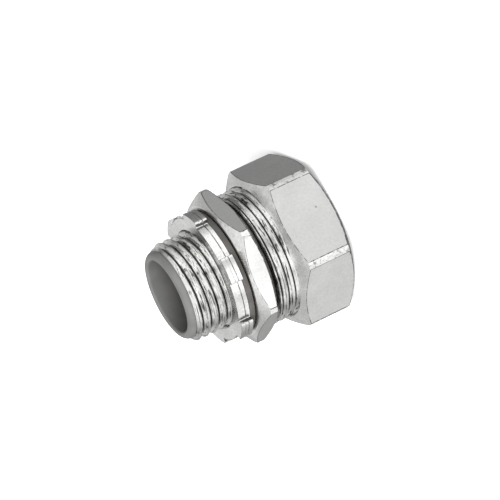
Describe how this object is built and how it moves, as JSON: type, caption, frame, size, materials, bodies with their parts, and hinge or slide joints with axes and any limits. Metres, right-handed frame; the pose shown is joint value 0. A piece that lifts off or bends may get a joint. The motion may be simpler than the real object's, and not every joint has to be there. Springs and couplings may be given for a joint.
{
  "type": "conduit compression fitting",
  "caption": "Straight box connector for liquid-tight flexible conduit: threaded nipple with insulated throat, lock nut, gasket, hexagonal body and gland nut that squeezes a sealing ring.",
  "frame": {"origin": "on the fitting's axis, in the conduit-end face of the gland nut on which it stands", "axes": "+Z along the axis from the conduit end to the box nipple; two corners of the gland nut's hexagon lie on +X and -X"},
  "size_m": [0.035, 0.0328, 0.0348],
  "materials": {
    "plated_body": "zinc plated, satin with bright machined threads",
    "liner_plastic": "moulded, matte",
    "plated_lock_nut": "zinc plated, bright worn rim",
    "gasket_rubber": "moulded rubber, matte",
    "plated_gland_nut": "zinc plated, satin flats with fine speckle",
    "washer_steel": "zinc plated",
    "ring_nylon": "natural nylon",
    "ferrule_steel": "zinc plated, pressed"
  },
  "bodies": {
    "connector": {"connector_body": "plated_body", "throat_liner": "liner_plastic", "compression_ring": "ring_nylon", "conduit_ferrule": "ferrule_steel"},
    "gasket": {"sealing_gasket": "gasket_rubber"},
    "lock_nut": {"lock_nut": "plated_lock_nut"},
    "washer": {"slip_washer": "washer_steel"},
    "gland_nut": {"gland_nut": "plated_gland_nut"}
  },
  "joints": [
    {"name": "lock_nut_turn", "type": "hinge", "parent": "connector", "child": "gasket", "pos_m": [0, 0, 0.02355], "axis": [0, 0, 1], "range_deg": [-0.5, 1440.5]},
    {"name": "lock_nut_travel", "type": "slide", "parent": "gasket", "child": "lock_nut", "axis": [0, 0, 1], "range_m": [0, 0.00726]},
    {"name": "gland_nut_turn", "type": "hinge", "parent": "connector", "child": "washer", "pos_m": [0, 0, 0.0038], "axis": [0, 0, 1], "range_deg": [-1080.5, 360.5]},
    {"name": "gland_nut_travel", "type": "slide", "parent": "washer", "child": "gland_nut", "axis": [0, 0, 1], "range_m": [-0.0045, 0.0015]}
  ],
  "couplings": [
    {"joint": "lock_nut_turn", "follows": "lock_nut_travel", "rad_per_m": 3463.2},
    {"joint": "gland_nut_turn", "follows": "gland_nut_travel", "rad_per_m": 4188.8}
  ]
}
